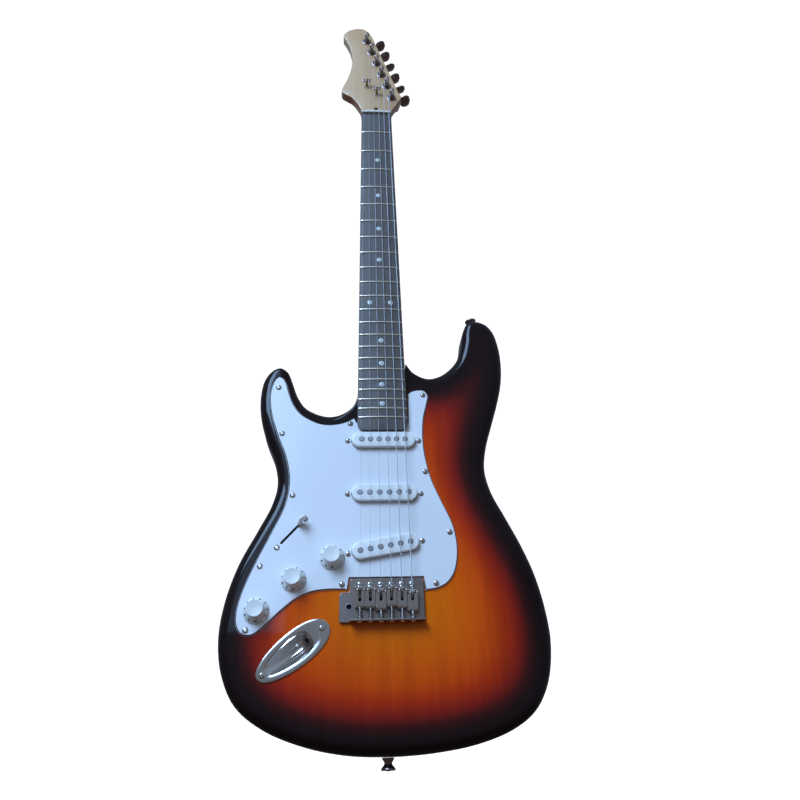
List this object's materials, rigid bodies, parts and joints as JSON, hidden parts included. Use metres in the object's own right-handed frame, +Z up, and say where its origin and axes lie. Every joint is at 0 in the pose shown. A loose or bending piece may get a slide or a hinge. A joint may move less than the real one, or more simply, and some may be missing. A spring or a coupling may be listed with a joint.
{
  "type": "electric guitar",
  "caption": "Left-handed solid-body electric guitar with a bolt-on neck, single-coil pickups, a tilting tremolo bridge and geared in-line tuners.",
  "frame": {"origin": "centre line of the neck where the open strings leave the nut, on the glue plane between neck and fretboard", "axes": "+Z up the neck towards the headstock, +Y from the playing face into the body, +X to the right of a viewer who looks at the playing face"},
  "size_m": [0.334, 0.0641, 1.0014],
  "materials": {
    "body_lacquer": "clear gloss lacquer over a dark red, orange and amber sunburst",
    "neck_maple": "satin pale maple",
    "fretboard_wood": "dark close-grained wood, satin",
    "nut_bone": "off-white, satin",
    "guard_plastic": "white three-ply sheet with a dark middle ply",
    "cover_plastic": "white moulded plastic",
    "chrome": "polished chrome plate",
    "dark_chrome": "smoked chrome plate",
    "steel": "plain plated steel",
    "string_steel": "drawn steel wire"
  },
  "bodies": {
    "guitar": {"body": "body_lacquer", "neck": "neck_maple", "fretboard": "fretboard_wood", "nut": "nut_bone", "neck_plate": "chrome", "pickguard": "guard_plastic", "back_cover": "guard_plastic", "pickup_neck": "cover_plastic", "pickup_middle": "cover_plastic", "pickup_bridge": "cover_plastic", "switch_frame": "steel", "jack_plate": "chrome", "output_jack": "steel", "strap_button_tail": "dark_chrome", "strap_button_horn": "dark_chrome", "spring_claw": "steel", "string_tree_1": "chrome", "string_tree_2": "chrome", "pot_volume": "steel", "pot_tone_1": "steel", "pot_tone_2": "steel", "tuner_housing_1": "chrome", "string_1": "string_steel", "tuner_housing_2": "chrome", "string_2": "string_steel", "tuner_housing_3": "chrome", "string_3": "string_steel", "tuner_housing_4": "chrome", "string_4": "string_steel", "tuner_housing_5": "chrome", "string_5": "string_steel", "tuner_housing_6": "chrome", "string_6": "string_steel", "spring_1": "string_steel", "spring_2": "string_steel", "spring_3": "string_steel"},
    "knob_volume": {"knob_volume": "cover_plastic"},
    "knob_tone_1": {"knob_tone_1": "cover_plastic"},
    "knob_tone_2": {"knob_tone_2": "cover_plastic"},
    "switch_lever": {"switch_lever": "cover_plastic"},
    "tuner_key_1": {"tuner_key_1": "dark_chrome"},
    "tuner_post_1": {"tuner_post_1": "chrome"},
    "tuner_key_2": {"tuner_key_2": "dark_chrome"},
    "tuner_post_2": {"tuner_post_2": "chrome"},
    "tuner_key_3": {"tuner_key_3": "dark_chrome"},
    "tuner_post_3": {"tuner_post_3": "chrome"},
    "tuner_key_4": {"tuner_key_4": "dark_chrome"},
    "tuner_post_4": {"tuner_post_4": "chrome"},
    "tuner_key_5": {"tuner_key_5": "dark_chrome"},
    "tuner_post_5": {"tuner_post_5": "chrome"},
    "tuner_key_6": {"tuner_key_6": "dark_chrome"},
    "tuner_post_6": {"tuner_post_6": "chrome"},
    "tremolo": {"bridge_plate": "chrome", "tremolo_block": "steel", "saddle_1": "chrome", "saddle_2": "chrome", "saddle_3": "chrome", "saddle_4": "chrome", "saddle_5": "chrome", "saddle_6": "chrome"}
  },
  "joints": [
    {"name": "volume_turn", "type": "hinge", "parent": "guitar", "child": "knob_volume", "pos_m": [-0.0543, -0.005, -0.6211], "axis": [0, -1, 0], "range_deg": [0, 300]},
    {"name": "tone_1_turn", "type": "hinge", "parent": "guitar", "child": "knob_tone_1", "pos_m": [-0.093, -0.005, -0.6428], "axis": [0, -1, 0], "range_deg": [0, 300]},
    {"name": "tone_2_turn", "type": "hinge", "parent": "guitar", "child": "knob_tone_2", "pos_m": [-0.1282, -0.005, -0.6734], "axis": [0, -1, 0], "range_deg": [0, 300]},
    {"name": "switch_throw", "type": "hinge", "parent": "guitar", "child": "switch_lever", "pos_m": [-0.0967, 0.0217, -0.5952], "axis": [0.7345, 0, -0.6786], "range_deg": [0, 60]},
    {"name": "tuner_1_key", "type": "hinge", "parent": "guitar", "child": "tuner_key_1", "pos_m": [-0.01395, 0.0202, 0.1613], "axis": [0.9586, 0, 0.2847], "continuous": true},
    {"name": "tuner_1_post", "type": "hinge", "parent": "guitar", "child": "tuner_post_1", "pos_m": [-0.0119, 0, 0.1544], "axis": [0, -1, 0], "continuous": true},
    {"name": "tuner_2_key", "type": "hinge", "parent": "guitar", "child": "tuner_key_2", "pos_m": [-0.00713, 0.0202, 0.13834], "axis": [0.9586, 0, 0.2847], "continuous": true},
    {"name": "tuner_2_post", "type": "hinge", "parent": "guitar", "child": "tuner_post_2", "pos_m": [-0.00508, 0, 0.13144], "axis": [0, -1, 0], "continuous": true},
    {"name": "tuner_3_key", "type": "hinge", "parent": "guitar", "child": "tuner_key_3", "pos_m": [-0.00031, 0.0202, 0.11538], "axis": [0.9586, 0, 0.2847], "continuous": true},
    {"name": "tuner_3_post", "type": "hinge", "parent": "guitar", "child": "tuner_post_3", "pos_m": [0.00174, 0, 0.10848], "axis": [0, -1, 0], "continuous": true},
    {"name": "tuner_4_key", "type": "hinge", "parent": "guitar", "child": "tuner_key_4", "pos_m": [0.00651, 0.0202, 0.09242], "axis": [0.9586, 0, 0.2847], "continuous": true},
    {"name": "tuner_4_post", "type": "hinge", "parent": "guitar", "child": "tuner_post_4", "pos_m": [0.00856, 0, 0.08552], "axis": [0, -1, 0], "continuous": true},
    {"name": "tuner_5_key", "type": "hinge", "parent": "guitar", "child": "tuner_key_5", "pos_m": [0.01333, 0.0202, 0.06946], "axis": [0.9586, 0, 0.2847], "continuous": true},
    {"name": "tuner_5_post", "type": "hinge", "parent": "guitar", "child": "tuner_post_5", "pos_m": [0.01538, 0, 0.06256], "axis": [0, -1, 0], "continuous": true},
    {"name": "tuner_6_key", "type": "hinge", "parent": "guitar", "child": "tuner_key_6", "pos_m": [0.02015, 0.0202, 0.0465], "axis": [0.9586, 0, 0.2847], "continuous": true},
    {"name": "tuner_6_post", "type": "hinge", "parent": "guitar", "child": "tuner_post_6", "pos_m": [0.0222, 0, 0.0396], "axis": [0, -1, 0], "continuous": true},
    {"name": "tremolo_tilt", "type": "hinge", "parent": "guitar", "child": "tremolo", "pos_m": [0, 0.0022, -0.6495], "axis": [-1, 0, 0], "range_deg": [0, 8], "stiffness_Nm_per_rad": 40, "springref_deg": -5.73, "deforming": ["string_1", "string_2", "string_3", "string_4", "string_5", "string_6", "spring_1", "spring_2", "spring_3"]}
  ],
  "couplings": [
    {"joint": "tuner_1_post", "follows": "tuner_1_key", "ratio": 0.066667},
    {"joint": "tuner_2_post", "follows": "tuner_2_key", "ratio": 0.066667},
    {"joint": "tuner_3_post", "follows": "tuner_3_key", "ratio": 0.066667},
    {"joint": "tuner_4_post", "follows": "tuner_4_key", "ratio": 0.066667},
    {"joint": "tuner_5_post", "follows": "tuner_5_key", "ratio": 0.066667},
    {"joint": "tuner_6_post", "follows": "tuner_6_key", "ratio": 0.066667}
  ]
}
